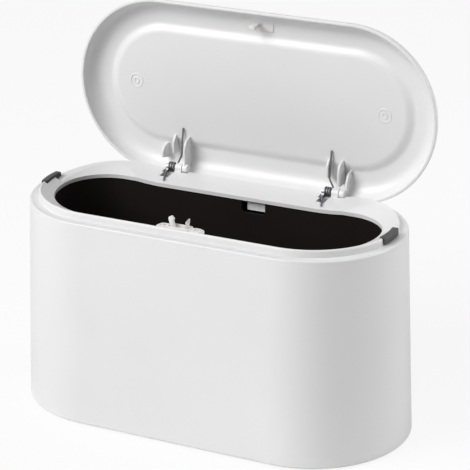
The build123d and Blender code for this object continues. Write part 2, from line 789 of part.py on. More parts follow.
os.makedirs("parts", exist_ok=True)
keep("body_shell", make_body_shell())
keep("base_plate", make_base_plate())
keep("rubber_feet", make_rubber_feet())
keep("inner_liner", make_inner_liner())
keep("top_frame", make_top_frame())
keep("lid_cover", make_lid_cover())
keep("lid_striker", make_lid_striker())
for name, side in (("left", -1), ("right", 1)):
    middle = side * hinge_place
    keep("end_bumper_" + name, make_end_bumper(side))
    keep("hinge_pin_" + name, make_hinge_pin(middle))
    keep("torsion_spring_" + name, make_torsion_spring("torsion_spring_" + name, middle))
    keep("latch_jaw_" + name, make_latch_jaw(side))
    keep("jaw_pin_" + name, make_jaw_pin(side))
keep("latch_housing", make_latch_housing())
keep("latch_end_cap", make_latch_end_cap())
keep("latch_plunger", make_latch_plunger())
keep("latch_spring", make_latch_spring())
keep("latch_screws", make_latch_screws())
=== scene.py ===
import math

import bpy
import numpy as np
from bpy.props import FloatProperty, FloatVectorProperty, IntProperty, PointerProperty
from mathutils import Matrix, Vector


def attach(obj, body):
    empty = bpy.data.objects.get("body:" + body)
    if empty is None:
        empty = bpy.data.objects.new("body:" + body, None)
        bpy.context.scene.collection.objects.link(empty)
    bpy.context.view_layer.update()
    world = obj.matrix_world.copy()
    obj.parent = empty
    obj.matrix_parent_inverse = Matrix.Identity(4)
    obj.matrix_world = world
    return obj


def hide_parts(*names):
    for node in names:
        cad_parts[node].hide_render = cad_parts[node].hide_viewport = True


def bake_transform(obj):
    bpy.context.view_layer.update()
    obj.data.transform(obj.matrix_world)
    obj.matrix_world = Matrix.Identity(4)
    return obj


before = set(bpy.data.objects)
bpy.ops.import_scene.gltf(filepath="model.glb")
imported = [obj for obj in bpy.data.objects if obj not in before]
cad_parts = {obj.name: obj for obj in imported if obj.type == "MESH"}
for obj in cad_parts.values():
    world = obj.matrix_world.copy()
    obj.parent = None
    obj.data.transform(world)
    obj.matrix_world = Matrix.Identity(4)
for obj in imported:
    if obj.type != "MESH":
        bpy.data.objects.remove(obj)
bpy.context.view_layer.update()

bl_info = {
    "name": "Desktop Trash Can",
    "version": (1, 0, 0),
    "blender": (4, 5, 0),
    "location": "View3D > Sidebar > Trash Can",
    "description": "Dresses the desktop trash can with moulded surfaces, wire springs and a studio stage",
    "category": "Object",
}

MM = 0.001

# Main sizes of the bin in millimetres, the same as in the solids; the panel's tilt is its fall per length
RIM_WIDTH = 103.0
END_MIDDLE = 58.5
FLANGE_TOP = 119.0
CREST = 123.2
RISER_INSET = 5.2
PANEL_DROP = 3.2
PANEL_TILT = 0.08
HINGE_MIDDLES = {"left": -49.0, "right": 49.0}
HINGE_LINE = (46.65, 121.35)
KNUCKLE_RADIUS = 2.7
LID_RIM = 121.0
LID_TOP = 131.8
LID_WALL = 1.8
LID_EDGE_ROUND = 10.2
PLATEAU_INSET = 18.0
PLATEAU_RISE = 2.2
PLATEAU_RAMP = 4.0
PLATEAU_ROUND = 5.0
PLATEAU_DEPTH = LID_TOP - LID_WALL - PLATEAU_RISE - HINGE_LINE[1]
LATCH_Y = -42.0
LATCH_SEAT = 122.6
LATCH_DEPTH = 20.0
SCREW_PLACE = 10.3

# Lid: half width of the flat middle, and the moulding marks' places along X, the share of the radius that
# their inner circle has, the half width of their line, and the half width and depth of its root
LID_FLAT = 8.0
MARK_PLACES = (-77.0, 77.0)
MARK_INNER_SHARE = 0.4
MARK_LINE = 0.45
MARK_ROOT = (0.4, 0.3)

# Hinges: the ear's start and end along X, and the ribs' thickness and places, from the hinge's middle
EAR_SPAN = (4.9, 8.4)
RIB_THICKNESS = 1.5
RIB_PLACES = {
    "left": {"ear": 5.65, "inner": -3.1, "short": -9.2},
    "right": {"fin": 3.5, "inner": -4.5, "outer": 7.85},
}

# Torsion springs, from the hinge's middle and line: the coil's ends along X, the gap under both legs, the
# lower leg's tip, its bend and straight start, the upper leg's height, the shares of its length at which it
# bends, its shift aside, and the radius of all bends
COIL_ENDS = (-4.5, -0.25)
LEG_GAP = 0.2
LEG_TIP = (0.8, -16.9)
LEG_BEND = -11.5
LEG_START = 3.2
ARM_HEIGHT = 22.3
ARM_BENDS = (0.08, 0.3)
ARM_SHIFTS = {"left": 2.2, "right": -2.9}
LEG_BEND_RADIUS = 4.0

# Latch: its coil's lower and upper end, radius, wire and turns, and its jaws' thickness, the rounding of
# their corners and their outlines (distance from the middle, height)
LATCH_COIL = (104.05, 113.05)
LATCH_COIL_RADIUS = 1.5
LATCH_COIL_WIRE = 0.5
LATCH_COIL_TURNS = 5
JAW_THICKNESS = 2.0
JAW_CORNER = 0.35
JAW_OUTLINES = {
    "left": [(2.6, 121.6), (3.1, 123.9), (3.75, 126.6), (3.3, 127.7), (4.5, 129.0), (5.3, 129.05),
             (6.6, 128.3), (6.3, 126.6), (5.5, 123.8), (4.6, 121.4), (3.9, 120.1), (2.4, 120.0)],
    "right": [(2.6, 121.6), (3.1, 123.8), (3.75, 125.8), (3.6, 126.8), (5.3, 129.05), (5.7, 128.9),
              (5.5, 126.4), (4.9, 123.8), (4.3, 121.4), (3.9, 120.1), (2.4, 120.0)],
}

# Stage, in metres: the camera's target, its shift in the picture, and each light's place, aim and size
CAMERA_TARGET = (0, 0, 0.081)
CAMERA_SHIFT = (0.010301, 0.021591)
CAMERA_SENSOR = 36.0
CAMERA_CLIP = (0.05, 50.0)
LIGHTS = {
    "key": ((-1.5, -1.8, 1.9), (0, 0, 0.08), 2.2),
    "top": ((0.1, -0.55, 1.0), (0, 0.04, 0.17), 0.9),
    "side": ((1.6, 0.9, 0.8), (0, 0, 0.08), 0.9),
}
FLOOR_HALF = 6.0
FLOOR_COLOUR = (0.85, 0.85, 0.85, 1)
FLOOR_GLOW = 0.88


class TrashCanLid(bpy.types.PropertyGroup):
    rim_softness: FloatProperty(
        name="Rim softness", description="Rounding of the two corners of the lid's rim",
        default=0.55 * MM, unit="LENGTH")
    rib_softness: FloatProperty(
        name="Rib softness", description="Rounding along the edges of the hinge ribs",
        default=0.45 * MM, unit="LENGTH")
    mark_radius: FloatProperty(
        name="Mark radius", description="Radius of the two round moulding marks inside the lid",
        default=3.8 * MM, unit="LENGTH")
    mark_height: FloatProperty(
        name="Mark height", description="How far the line of a moulding mark stands up",
        default=0.24 * MM, unit="LENGTH")


class TrashCanSpring(bpy.types.PropertyGroup):
    wire: FloatProperty(
        name="Wire", description="Thickness of the torsion springs' wire",
        default=1.05 * MM, unit="LENGTH")
    coil_radius: FloatProperty(
        name="Coil radius", description="Radius of the coil at the middle of its wire",
        default=2.38 * MM, unit="LENGTH")
    turns: IntProperty(name="Turns", description="Turns of the coil", default=3)


class TrashCanTrim(bpy.types.PropertyGroup):
    bumper_length: FloatProperty(
        name="Bumper length", description="Length of each end bumper", default=18.0 * MM, unit="LENGTH")
    bumper_width: FloatProperty(
        name="Bumper width", description="Width of each end bumper across the crest",
        default=3.7 * MM, unit="LENGTH")
    jaw_softness: FloatProperty(
        name="Jaw softness", description="Rounding along the edges of the latch jaws",
        default=0.3 * MM, unit="LENGTH")
    neck_rise: FloatProperty(
        name="Neck rise", description="How far the latch's neck stands above its seat",
        default=1.45 * MM, unit="LENGTH")
    lug_rise: FloatProperty(
        name="Lug rise", description="Height of the domes over the latch's screws",
        default=0.6 * MM, unit="LENGTH")


class TrashCanFinish(bpy.types.PropertyGroup):
    white: FloatVectorProperty(
        name="White plastic", description="Colour of the glossy white mouldings",
        default=(0.80, 0.80, 0.80), size=3, min=0.0, max=1.0, subtype="COLOR")
    satin: FloatVectorProperty(
        name="Satin plastic", description="Colour of the small satin mouldings",
        default=(0.78, 0.77, 0.765), size=3, min=0.0, max=1.0, subtype="COLOR")
    black: FloatVectorProperty(
        name="Liner black", description="Colour of the inner liner",
        default=(0.0085, 0.0055, 0.0055), size=3, min=0.0, max=1.0, subtype="COLOR")
    rubber: FloatVectorProperty(
        name="Rubber grey", description="Colour of the bumpers and feet",
        default=(0.042, 0.041, 0.040), size=3, min=0.0, max=1.0, subtype="COLOR")
    wire: FloatVectorProperty(
        name="Spring steel", description="Colour of the spring wire",
        default=(0.22, 0.22, 0.23), size=3, min=0.0, max=1.0, subtype="COLOR")
    pin: FloatVectorProperty(
        name="Pin steel", description="Colour of the pins and screws",
        default=(0.27, 0.27, 0.28), size=3, min=0.0, max=1.0, subtype="COLOR")


class TrashCanStage(bpy.types.PropertyGroup):
    azimuth: FloatProperty(
        name="Azimuth", description="Camera's turn round the bin from the front",
        default=math.radians(26.459), subtype="ANGLE")
    elevation: FloatProperty(
        name="Elevation", description="Camera's height angle",
        default=math.radians(21.303), subtype="ANGLE")
    roll: FloatProperty(
        name="Roll", description="Camera's turn about its own line of sight",
        default=math.radians(-0.421), subtype="ANGLE")
    distance: FloatProperty(
        name="Distance", description="Camera's distance from its target",
        default=1.237475, unit="LENGTH")
    lens: FloatProperty(name="Lens", description="Focal length in millimetres", default=171.02)
    ambient: FloatProperty(
        name="Ambient", description="Strength of the even light from all round", default=0.05, min=0.0)
    key_power: FloatProperty(
        name="Key light", description="Power of the soft light from the front left",
        default=79.0, unit="POWER")
    top_power: FloatProperty(
        name="Top light", description="Power of the soft light from above",
        default=2.3, unit="POWER")
    side_power: FloatProperty(
        name="Side light", description="Power of the soft light from the right, a little behind the bin",
        default=21.0, unit="POWER")


class TrashCanSettings(bpy.types.PropertyGroup):
    lid: PointerProperty(type=TrashCanLid)
    spring: PointerProperty(type=TrashCanSpring)
    trim: PointerProperty(type=TrashCanTrim)
    finish: PointerProperty(type=TrashCanFinish)
    stage: PointerProperty(type=TrashCanStage)


def settings():
    """The sizes, colours and powers that the sidebar shows."""
    return bpy.context.scene.trash_can


# Meshes

def grid_faces(rows, columns, closed):
    """Corner numbers of a grid's faces; the last column joins the first, as the last row does if closed."""
    r, c = np.meshgrid(np.arange(rows if closed else rows - 1), np.arange(columns), indexing="ij")
    next_row = (r + 1) % rows
    next_column = (c + 1) % columns
    corners = [r * columns + c, r * columns + next_column,
               next_row * columns + next_column, next_row * columns + c]
    return np.stack(corners, -1).reshape(-1, 4)


def enclosed_volume(points, faces):
    """Sum over the faces of the triple product of three corners, split into triangles."""
    total = 0.0
    for face in (faces[:, [0, 1, 2]], faces[:, [0, 2, 3]]):
        a, b, c = (points[face[:, i]] for i in range(3))
        total += np.einsum("ij,ij->i", a, np.cross(b, c)).sum()
    return total


def surface_mesh(name, shells, sharp):
    """Mesh of one or more grids, each (points, closed): a tube of rings, or a ring of rings if closed.

    The two ends of a tube get a flat cap, and edges with a turn over the sharp angle stay sharp.
    Points are in millimetres. The corners of faces and caps are turned so that each shell, measured from its
    own middle, encloses a positive volume.
    """
    all_points, all_faces, start = [], [], 0
    for points, closed in shells:
        rows, columns = points.shape[:2]
        flat = points.reshape(-1, 3) * MM
        faces = grid_faces(rows, columns, closed)
        first = np.arange(columns)
        caps = [] if closed else [first[::-1], first + (rows - 1) * columns]
        centred = flat - flat.mean(0)
        cap_volume = sum((np.cross(centred[cap[1:-1]], centred[cap[2:]]) @ centred[cap[0]]).sum()
                         for cap in caps)
        if enclosed_volume(centred, faces) + cap_volume < 0:
            faces = faces[:, ::-1]
            caps = [cap[::-1] for cap in caps]
        all_points.append(flat)
        all_faces += (faces + start).tolist() + [(cap + start).tolist() for cap in caps]
        start += len(flat)
    mesh = bpy.data.meshes.new(name)
    mesh.from_pydata(np.concatenate(all_points).tolist(), [], all_faces)
    mesh.update()
    mesh.shade_smooth()
    mesh.set_sharp_from_angle(angle=math.radians(sharp))
    return mesh


def add_piece(name, mesh, material, body, node):
    """Links a piece and gives it its finish; it takes a node's place and rides on its body, if it has one."""
    piece = bpy.data.objects.new(name, mesh)
    bpy.context.scene.collection.objects.link(piece)
    mesh.materials.append(material)
    if body:
        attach(piece, body)
    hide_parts(node)
    return piece


def rounded_line(corners, radii, steps=8, closed=False):
    """Straight runs with each inner corner replaced by an arc.

    The arc starts and ends at radius times the tangent of half the turn from the corner. Its points are the
    centre plus cosine and sine of the swept angle times the arc's two square directions.
    """
    corners = np.asarray(corners, float)
    count = len(corners)
    pieces = []
    for i in range(count):
        if not closed and i in (0, count - 1):
            pieces.append(corners[i:i + 1])
            continue
        before = corners[i] - corners[i - 1]
        after = corners[(i + 1) % count] - corners[i]
        before /= np.linalg.norm(before)
        after /= np.linalg.norm(after)
        turn = math.acos(float(np.clip(before @ after, -1, 1)))
        radius = radii[i] if closed else radii[i - 1]
        if turn < 1e-4 or radius <= 0:
            pieces.append(corners[i:i + 1])
            continue
        start = corners[i] - before * radius * math.tan(turn / 2)
        inward = after - before * (before @ after)
        inward /= np.linalg.norm(inward)
        centre = start + inward * radius
        angle = np.linspace(0, turn, steps + 1)[:, None]
        pieces.append(centre - np.cos(angle) * inward * radius + np.sin(angle) * before * radius)
    return np.concatenate(pieces)


def stadium_line(half, steps=48):
    """Places and outward directions for a stadium: a half turn about each end of its middle line."""
    turn = np.radians(np.concatenate([np.linspace(-90, 90, steps), np.linspace(90, 270, steps)]))
    middle = np.repeat([half, -half], steps)
    out = np.stack([np.cos(turn), np.sin(turn)], -1)
    return np.stack([middle, np.zeros_like(middle)], -1), out


def carried(line, section):
    """Carries a section of (reach, level) points along a line of (places, outward directions).

    A point of the surface is the place plus reach times the outward direction, at the section's level.
    """
    places, out = line
    flat = places[None] + section[:, None, 0, None] * out[None]
    level = np.broadcast_to(section[:, None, 1, None], flat.shape[:2] + (1,))
    return np.concatenate([flat, level], -1)


def plate(outline, thickness, softness, steps=3):
    """Flat plate with rounded edges: its outline carried across its thickness.

    Near each face the outline moves in along its normals by softness times one minus the sine of the swept
    quarter turn. Gives (along the outline, across it, through the thickness) points.
    """
    around = np.roll(outline, -1, 0) - np.roll(outline, 1, 0)
    around /= np.linalg.norm(around, axis=1, keepdims=True)
    normal = np.stack([around[:, 1], -around[:, 0]], -1)
    x, y = outline.T
    if (x * np.roll(y, -1) - np.roll(x, -1) * y).sum() < 0:
        normal = -normal
    quarter = np.linspace(0, math.pi / 2, steps + 1)
    inset = softness * (1 - np.sin(quarter))
    depth = thickness / 2 - softness * (1 - np.cos(quarter))
    inset = np.concatenate([inset, inset[::-1]])
    depth = np.concatenate([depth, -depth[::-1]])
    flat = outline[None] - inset[:, None, None] * normal[None]
    return np.concatenate([flat, np.broadcast_to(depth[:, None, None], flat.shape[:2] + (1,))], -1)


def wire_tube(path, radius, aside=(1.0, 0.0, 0.0), sides=14):
    """Round wire: circles square to the path, each turned by its tangent and one fixed direction aside.

    A point is the path's place plus the radius times cosine and sine of its angle along the two directions
    square to the tangent. Three more circles at each end shrink along a quarter turn, so the wire ends round.
    """
    tangent = np.gradient(path, axis=0)
    tangent /= np.linalg.norm(tangent, axis=1, keepdims=True)
    across = np.cross(tangent, np.array(aside))
    across /= np.linalg.norm(across, axis=1, keepdims=True)
    over = np.cross(tangent, across)
    quarter = np.radians([80.0, 50.0, 25.0])
    head = path[0] - tangent[0] * radius * np.sin(quarter)[:, None]
    tail = path[-1] + tangent[-1] * radius * np.sin(quarter[::-1])[:, None]
    centres = np.concatenate([head, path, tail])
    size = np.concatenate([np.cos(quarter), np.ones(len(path)), np.cos(quarter[::-1])]) * radius
    pad = ((3, 3), (0, 0))
    across = np.pad(across, pad, mode="edge")
    over = np.pad(over, pad, mode="edge")
    angle = np.linspace(0, 2 * math.pi, sides, endpoint=False)[None, :, None]
    ring = np.cos(angle) * across[:, None] + np.sin(angle) * over[:, None]
    return centres[:, None] + size[:, None, None] * ring


def opened(points):
    """Turns closed-lid points back about the hinge line: height becomes depth, and depth becomes height."""
    axis_y, axis_z = HINGE_LINE
    depth = axis_y + points[..., 2] - axis_z
    height = axis_z + axis_y - points[..., 1]
    return np.stack([points[..., 0], depth, height], -1)


def circle_directions(count):
    """Directions round a full circle: cosine and sine of evenly spaced angles."""
    turn = np.linspace(0, 2 * math.pi, count, endpoint=False)
    return np.stack([np.cos(turn), np.sin(turn)], -1)


# Materials

def new_material(name):
    """An empty material with its principled shader on the output."""
    material = bpy.data.materials.new(name)
    material.use_nodes = True
    tree = material.node_tree
    tree.nodes.clear()
    output = tree.nodes.new("ShaderNodeOutputMaterial")
    shader = tree.nodes.new("ShaderNodeBsdfPrincipled")
    tree.links.new(shader.outputs["BSDF"], output.inputs["Surface"])
    return material, tree, shader


def object_noise(tree, scale, detail, roughness=0.5):
    """Noise over the piece's own coordinates."""
    coordinates = tree.nodes.new("ShaderNodeTexCoord")
    noise = tree.nodes.new("ShaderNodeTexNoise")
    noise.inputs["Scale"].default_value = scale
    noise.inputs["Detail"].default_value = detail
    noise.inputs["Roughness"].default_value = roughness
    tree.links.new(coordinates.outputs["Object"], noise.inputs["Vector"])
    return noise.outputs["Fac"]


def colour_ramp(tree, factor, low, high, start=0.3, end=0.7):
    """Colour that goes from low to high as the factor goes from start to end."""
    node = tree.nodes.new("ShaderNodeValToRGB")
    node.color_ramp.elements[0].position = start
    node.color_ramp.elements[0].color = (*low, 1.0)
    node.color_ramp.elements[1].position = end
    node.color_ramp.elements[1].color = (*high, 1.0)
    tree.links.new(factor, node.inputs["Fac"])
    return node.outputs["Color"]


def spread(tree, factor, low, high):
    """Value that goes from low to high with the factor."""
    node = tree.nodes.new("ShaderNodeMapRange")
    node.inputs["To Min"].default_value = low
    node.inputs["To Max"].default_value = high
    tree.links.new(factor, node.inputs["Value"])
    return node.outputs["Result"]


def bump(tree, height, strength, distance):
    """Normal of a finely raised skin."""
    node = tree.nodes.new("ShaderNodeBump")
    node.inputs["Strength"].default_value = strength
    node.inputs["Distance"].default_value = distance
    tree.links.new(height, node.inputs["Height"])
    return node.outputs["Normal"]


def moulded(name, colour, drift, rough, grain, depth, specular=0.5):
    """Moulded plastic or rubber with a faint drift of colour, uneven gloss and a fine grain."""
    if name in bpy.data.materials:
        return bpy.data.materials[name]
    material, tree, shader = new_material(name)
    clouds = object_noise(tree, scale=18.0, detail=3.0)
    low = tuple(max(0.0, c - drift) for c in colour)
    high = tuple(min(1.0, c + drift) for c in colour)
    tree.links.new(colour_ramp(tree, clouds, low, high), shader.inputs["Base Color"])
    gloss = object_noise(tree, scale=55.0, detail=4.0, roughness=0.6)
    tree.links.new(spread(tree, gloss, *rough), shader.inputs["Roughness"])
    skin = object_noise(tree, scale=grain, detail=2.0)
    tree.links.new(bump(tree, skin, strength=0.35, distance=depth), shader.inputs["Normal"])
    shader.inputs["Specular IOR Level"].default_value = specular
    return material


def steel(name, colour, rough):
    """Drawn or turned steel with fine streaks and uneven gloss."""
    if name in bpy.data.materials:
        return bpy.data.materials[name]
    material, tree, shader = new_material(name)
    streaks = object_noise(tree, scale=900.0, detail=3.0, roughness=0.7)
    low = tuple(c * 0.8 for c in colour)
    tree.links.new(colour_ramp(tree, streaks, low, tuple(colour)), shader.inputs["Base Color"])
    tree.links.new(spread(tree, streaks, *rough), shader.inputs["Roughness"])
    tree.links.new(bump(tree, streaks, strength=0.3, distance=0.00002), shader.inputs["Normal"])
    shader.inputs["Metallic"].default_value = 1.0
    return material


def gloss_white():
    """Shell, frame and lid."""
    return moulded("gloss_white", settings().finish.white, drift=0.01, rough=(0.32, 0.40),
                   grain=700.0, depth=0.00002)


def satin_white():
    """Base, striker and latch."""
    return moulded("satin_white", settings().finish.satin, drift=0.012, rough=(0.38, 0.48),
                   grain=900.0, depth=0.00003)


def liner_black():
    """Inner liner."""
    return moulded("liner_black", settings().finish.black, drift=0.001, rough=(0.55, 0.7),
                   grain=1200.0, depth=0.00004, specular=0.14)


def bumper_rubber():
    """Bumpers and feet."""
    return moulded("bumper_rubber", settings().finish.rubber, drift=0.008, rough=(0.42, 0.55),
                   grain=1500.0, depth=0.00005)


def spring_wire():
    """Springs."""
    return steel("spring_wire", settings().finish.wire, (0.3, 0.45))


def pin_steel():
    """Pins and screws."""
    return steel("pin_steel", settings().finish.pin, (0.42, 0.55))


def finish_nodes(material, *names):
    """Gives solids their finish."""
    for name in names:
        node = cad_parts[name]
        node.data.materials.clear()
        node.data.materials.append(material)


# Shapes of the lid and its hinges

def lid_corners(depth):
    """Corners and roundings of the closed lid's section on the outer face or a depth under it."""
    slope = math.atan2(PLATEAU_RISE, PLATEAU_RAMP)
    shift = (LID_WALL - depth) * math.tan(slope / 2)
    edge = RIM_WIDTH / 2 - PLATEAU_INSET - shift
    top = LID_TOP - depth
    side = RIM_WIDTH / 2 - depth
    corners = [(LID_FLAT, top - PLATEAU_RISE), (edge - PLATEAU_RAMP / 2, top - PLATEAU_RISE),
               (edge + PLATEAU_RAMP / 2, top), (side, top), (side, LID_RIM)]
    return corners, [PLATEAU_ROUND + depth, PLATEAU_ROUND + LID_WALL - depth, LID_EDGE_ROUND - depth]


def lid_section(softness):
    """The lid's section from the middle of its outer face round its rim to the middle of its inner face."""
    outer, outer_radii = lid_corners(0.0)
    inner, inner_radii = lid_corners(LID_WALL)
    radii = outer_radii + [softness, softness] + inner_radii[::-1]
    return rounded_line(outer + inner[::-1], radii, steps=12)


def mark_ring(x, radius, height):
    """Fine raised circle: a low half ellipse with its root in the lid, turned about the mark's centre."""
    swept = np.linspace(0, math.pi, 7)
    level = LID_TOP - LID_WALL - PLATEAU_RISE
    half, sunk = MARK_ROOT
    arch = np.stack([radius + MARK_LINE * np.cos(swept), level - height * np.sin(swept)], -1)
    root = [[radius - half, level + sunk], [radius + half, level + sunk]]
    out = circle_directions(48)
    return carried((np.tile([[x, 0.0]], (48, 1)), out), np.concatenate([arch, root]))


def wall_arc(lowest):
    """Middle of the open lid's rounded wall, as an arc down to the lowest height from the hinge line."""
    axis_y, axis_z = HINGE_LINE
    centre = np.array([LID_TOP - LID_EDGE_ROUND - axis_z, axis_y - RIM_WIDTH / 2 + LID_EDGE_ROUND])
    radius = LID_EDGE_ROUND - LID_WALL / 2
    last = math.asin(min(1.0, (centre[1] - lowest) / radius))
    swept = np.linspace(0, last, 10)
    return centre + radius * np.stack([np.cos(swept), -np.sin(swept)], -1)


def rib_outlines():
    """Outlines of the hinge ribs as (rearwards, upwards) from the hinge line, by name.

    Each is a fin with a rounded free edge that bulges from the lid; its root follows the middle of the
    lid's wall from the plateau down its ramp to the outer band, and the ear ends in a round about the line.
    """
    root = PLATEAU_DEPTH + LID_WALL / 2
    wall = root + PLATEAU_RISE
    ramp = [(root, 15.4), (wall, 11.4)]
    tall = [(PLATEAU_DEPTH - 0.6, 17.6), (root, 17.6), *ramp]
    low = [(wall - 1.4, 11.6), (wall, 11.6)]
    turn = np.radians(np.linspace(-90, -204, 12))
    round_end = KNUCKLE_RADIUS * np.stack([np.cos(turn), np.sin(turn)], -1)
    ear = rounded_line([(-2.45, 1.1), (-0.6, 3.9), (-0.6, 11.5), (1.2, 15.8), *tall, (wall, 5.6)],
                       [3.0, 9.0, 4.0, 0.8, 0.2, 0.2, 0.2], steps=5)
    outer = rounded_line([(1.0, -3.9), (0.8, -2.0), (1.2, 5.6), (3.6, 10.4), *low, (wall, 5.6)],
                         [2.0, 9.0, 4.0, 0.3, 0.2], steps=5)
    return {
        "ear": np.concatenate([ear[1:], wall_arc(-KNUCKLE_RADIUS), round_end]),
        "fin": rounded_line([(0.9, 3.3), (0.1, 5.5), (-0.2, 11.5), (1.4, 15.8), *tall, (wall, 3.3)],
                            [0.6, 5.0, 9.0, 4.0, 0.8, 0.2, 0.2, 0.2, 0.2], steps=5, closed=True),
        "inner": rounded_line([(3.3, 6.6), (2.7, 9.5), (2.6, 14.2), (PLATEAU_DEPTH - 0.8, 17.4),
                               (root, 17.4), *ramp, (wall, 6.6)],
                              [0.6, 5.0, 4.0, 0.8, 0.2, 0.2, 0.2, 0.2], steps=5, closed=True),
        "short": rounded_line([(1.0, 4.2), (0.9, 8.2), (3.2, 10.9), *low, (wall, 5.4), (wall - 0.5, 2.6)],
                              [0.6, 3.5, 4.0, 0.3, 0.2, 0.2, 0.2], steps=5, closed=True),
        "outer": np.concatenate([outer, wall_arc(-3.92)]),
    }


def ear_boss(start, end):
    """Round end of the ear: a soft-edged drum about the hinge line, its outer face slightly domed."""
    axis_y, axis_z = HINGE_LINE
    middle, flat = 0.3, 1.6
    section = rounded_line([(middle, end), (flat, end - 0.05), (KNUCKLE_RADIUS, end - 0.35),
                            (KNUCKLE_RADIUS, start), (middle, start)], [1.0, 0.7, 0.3], steps=5)
    drum = carried((np.zeros((40, 2)), circle_directions(40)), section)
    return np.stack([drum[..., 2], axis_y + drum[..., 0], axis_z + drum[..., 1]], -1)


def rib_points(outline, x, softness):
    """A rib's plate stood up on the hinge line: rearwards is +Y and upwards is +Z."""
    axis_y, axis_z = HINGE_LINE
    flat = plate(outline, RIB_THICKNESS, softness)
    return np.stack([x + flat[..., 2], axis_y + flat[..., 0], axis_z + flat[..., 1]], -1)


class TRASHCAN_OT_lid(bpy.types.Operator):
    """Lid cover: its section carried round a stadium, with round marks and the ribs of both hinges"""
    bl_idname = "trashcan.lid"
    bl_label = "Lid cover"

    def execute(self, context):
        lid = settings().lid
        cover = carried(stadium_line(END_MIDDLE), lid_section(lid.rim_softness / MM))
        shells = [(opened(cover), False)]
        for x in MARK_PLACES:
            for share in (1.0, MARK_INNER_SHARE):
                ring = mark_ring(x, share * lid.mark_radius / MM, lid.mark_height / MM)
                shells.append((opened(ring), True))
        outlines = rib_outlines()
        for side, middle in HINGE_MIDDLES.items():
            shells.append((ear_boss(middle + EAR_SPAN[0], middle + EAR_SPAN[1]), False))
            for rib, place in RIB_PLACES[side].items():
                points = rib_points(outlines[rib], middle + place, lid.rib_softness / MM)
                shells.append((points, False))
        mesh = surface_mesh("lid_skin", shells, sharp=40.0)
        add_piece("lid_skin", mesh, gloss_white(), "lid", "lid_cover")
        return {"FINISHED"}


def spring_path(radius, wire, turns, arm_shift):
    """Middle line of a torsion spring from the tip of its lower leg to the tip of its upper leg.

    The coil is a circle about X whose place along X grows evenly with the angle; the legs leave it along
    its tangents, the lower one bent twice to lie on the frame, the upper one bent aside by a shift.
    """
    start_x, end_x = COIL_ENDS
    panel_back = RIM_WIDTH / 2 - RISER_INSET
    axis_y, axis_z = HINGE_LINE

    def panel(y):
        """Height of the leg's middle over the frame's tilted panel."""
        return CREST - PANEL_DROP - (panel_back - axis_y - y) * PANEL_TILT + wire / 2 + LEG_GAP - axis_z

    bend_y = LEG_BEND + wire
    bend_z = panel(LEG_BEND)
    lift = math.atan2(bend_z + radius, -bend_y)
    lean = math.atan2(PLATEAU_DEPTH - wire / 2 - LEG_GAP - radius, ARM_HEIGHT)
    first, last = -math.pi / 2 - lift, 2 * math.pi * turns - lean
    angle = np.linspace(first, last, 40 * turns)
    along = (angle - first) / (last - first)
    coil_x = start_x + (end_x - start_x) * along
    coil = np.stack([coil_x, radius * np.cos(angle), radius * np.sin(angle)], -1)
    arriving = np.array([0.0, -math.sin(first), math.cos(first)])
    lead = coil[0] - arriving * LEG_START
    tip_x, tip_y = LEG_TIP
    share = (lead[1] - bend_y) / (lead[1] - tip_y)
    bend = np.array([start_x + (tip_x - start_x) * share, bend_y, bend_z])
    leg = rounded_line([(tip_x, tip_y, panel(tip_y)), bend, lead, coil[0]], [LEG_BEND_RADIUS] * 2, steps=6)
    leaving = np.array([0.0, -math.sin(last), math.cos(last)])
    leaving *= ARM_HEIGHT / leaving[2]
    beside = np.array([arm_shift, 0.0, 0.0])
    near, far = ARM_BENDS
    end = coil[-1]
    arm = rounded_line([end, end + near * leaving, end + beside + far * leaving, end + beside + leaving],
                       [LEG_BEND_RADIUS] * 2, steps=6)
    return np.concatenate([leg[:-1], coil, arm[1:]])


class TRASHCAN_OT_springs(bpy.types.Operator):
    """Torsion springs of both hinges: round wire along a coil with two legs"""
    bl_idname = "trashcan.springs"
    bl_label = "Torsion springs"

    def execute(self, context):
        spring = settings().spring
        axis_y, axis_z = HINGE_LINE
        for side, middle in HINGE_MIDDLES.items():
            path = spring_path(spring.coil_radius / MM, spring.wire / MM, spring.turns, ARM_SHIFTS[side])
            tube = wire_tube(path + np.array([middle, axis_y, axis_z]), spring.wire / MM / 2)
            mesh = surface_mesh("spring_wire_" + side, [(tube, False)], sharp=60.0)
            piece = add_piece("spring_wire_" + side, mesh, spring_wire(), None,
                              "torsion_spring_" + side)
            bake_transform(piece)
        return {"FINISHED"}


def bumper_points(side, length, width):
    """End bumper: a strap over the crest with a skirt down its outer face, carried along its round end.

    The line runs over the angles at which the crest's radius reaches half the length to either side of the
    bumper's middle; near both ends the section shrinks towards its own middle.
    """
    riser = RIM_WIDTH / 2 - RISER_INSET + 0.05
    outside, top, under = riser + 1.0, CREST + 0.35, CREST - 2.15
    inside, foot = outside - width, FLANGE_TOP + 0.4
    forwards = -1.6
    section = rounded_line([(riser, foot), (outside, foot), (outside, top), (inside, top), (inside, under),
                            (riser, under)], [0.2, 0.4, 0.8, 0.5, 0.2, 0.1], steps=4, closed=True)
    first, last = (math.asin((forwards + sign * length / 2) / outside) for sign in (-1, 1))
    angle = np.linspace(first, last, 25)
    out = np.stack([side * np.cos(angle), np.sin(angle)], -1)
    middle = section.mean(0)
    ease = np.ones((len(angle), 1, 1))
    ease[[0, -1]] = 0.86
    ease[[1, -2]] = 0.98
    eased = middle + (section - middle) * ease
    flat = np.array([side * END_MIDDLE, 0.0]) + eased[..., :1] * out[:, None]
    return np.concatenate([flat, eased[..., 1:]], -1)


